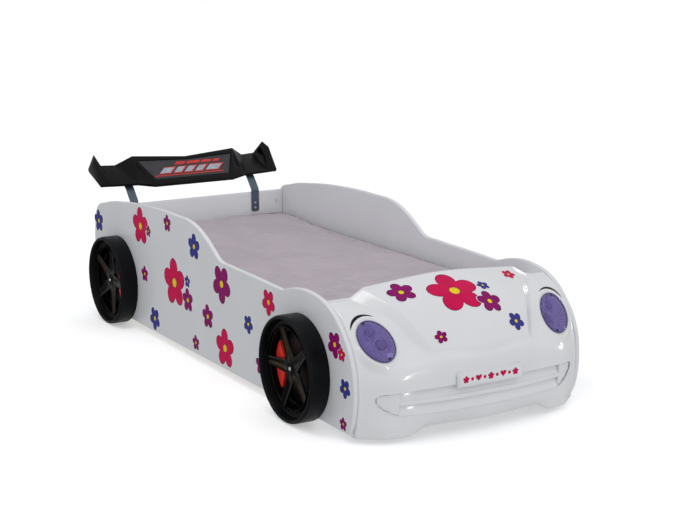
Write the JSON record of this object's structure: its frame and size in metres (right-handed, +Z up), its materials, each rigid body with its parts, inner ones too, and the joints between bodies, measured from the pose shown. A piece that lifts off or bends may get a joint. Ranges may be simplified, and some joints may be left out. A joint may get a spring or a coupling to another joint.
{
  "type": "toddler bed",
  "caption": "Low single bed shaped like a small racing car, with side panels, moulded nose, dummy wheels, rear spoiler and a lift-out mattress.",
  "frame": {"origin": "on the floor, under the centre of the bed's overall length and width", "axes": "+X across the bed to its right as seen from behind its nose looking to the spoiler, +Y from the nose to the spoiler, +Z up"},
  "size_m": [1.1008, 2.507, 0.6915],
  "materials": {
    "white_lacquer": "satin white lacquer on fibreboard",
    "gloss_white_plastic": "glossy white vacuum-formed ABS",
    "base_board": "melamine-faced chipboard",
    "planed_pine": "planed, unfinished",
    "mattress_fabric": "smooth woven cover, mauve grey",
    "foot_plastic": "moulded, matt",
    "cap_plastic": "moulded, satin",
    "screw_steel": "zinc plated",
    "bolt_steel": "bright cap",
    "strap_steel": "blue-grey, satin",
    "violet_lens": "clear violet, polished",
    "light_housing": "bright moulded reflector",
    "spoiler_black": "black, semi-gloss",
    "badge_grey": "dark grey, satin",
    "tyre_black": "black, satin",
    "rim_black": "black, glossy",
    "disc_grey": "dark grey, satin",
    "caliper_red": "red, satin"
  },
  "bodies": {
    "bed_frame": {"side_panel_left": "white_lacquer", "side_panel_right": "white_lacquer", "rear_panel": "white_lacquer", "front_cross_panel": "white_lacquer", "nose_moulding": "gloss_white_plastic", "number_plate": "gloss_white_plastic", "base_board_1": "base_board", "base_board_2": "base_board", "base_board_3": "base_board", "base_board_4": "base_board", "base_board_5": "base_board", "support_batten_left": "planed_pine", "support_batten_right": "planed_pine", "centre_beam": "planed_pine", "centre_leg_1": "planed_pine", "centre_leg_2": "planed_pine", "foot_front_left": "foot_plastic", "foot_rear_left": "foot_plastic", "foot_front_right": "foot_plastic", "foot_rear_right": "foot_plastic", "screw_cap_left": "cap_plastic", "screw_cap_right": "cap_plastic", "strap_screw_left_1": "screw_steel", "strap_screw_left_2": "screw_steel", "strap_screw_right_1": "screw_steel", "strap_screw_right_2": "screw_steel", "spoiler_strap_left": "strap_steel", "spoiler_strap_right": "strap_steel", "headlight_lens_left": "violet_lens", "headlight_lens_right": "violet_lens", "headlight_housing_left": "light_housing", "headlight_housing_right": "light_housing", "spoiler_wing": "spoiler_black", "spoiler_badge": "badge_grey", "wheel_front_left_tyre": "tyre_black", "wheel_front_left_rim": "rim_black", "wheel_front_left_brake_disc": "disc_grey", "wheel_front_left_caliper": "caliper_red", "wheel_front_left_centre_bolt": "bolt_steel", "wheel_rear_left_tyre": "tyre_black", "wheel_rear_left_rim": "rim_black", "wheel_rear_left_brake_disc": "disc_grey", "wheel_rear_left_caliper": "caliper_red", "wheel_rear_left_centre_bolt": "bolt_steel", "wheel_front_right_tyre": "tyre_black", "wheel_front_right_rim": "rim_black", "wheel_front_right_brake_disc": "disc_grey", "wheel_front_right_caliper": "caliper_red", "wheel_front_right_centre_bolt": "bolt_steel", "wheel_rear_right_tyre": "tyre_black", "wheel_rear_right_rim": "rim_black", "wheel_rear_right_brake_disc": "disc_grey", "wheel_rear_right_caliper": "caliper_red", "wheel_rear_right_centre_bolt": "bolt_steel"},
    "mattress": {"mattress": "mattress_fabric"}
  },
  "joints": [
    {"name": "mattress_lift", "type": "slide", "parent": "bed_frame", "child": "mattress", "axis": [0, 0, 1], "range_m": [0, 0.35]}
  ]
}
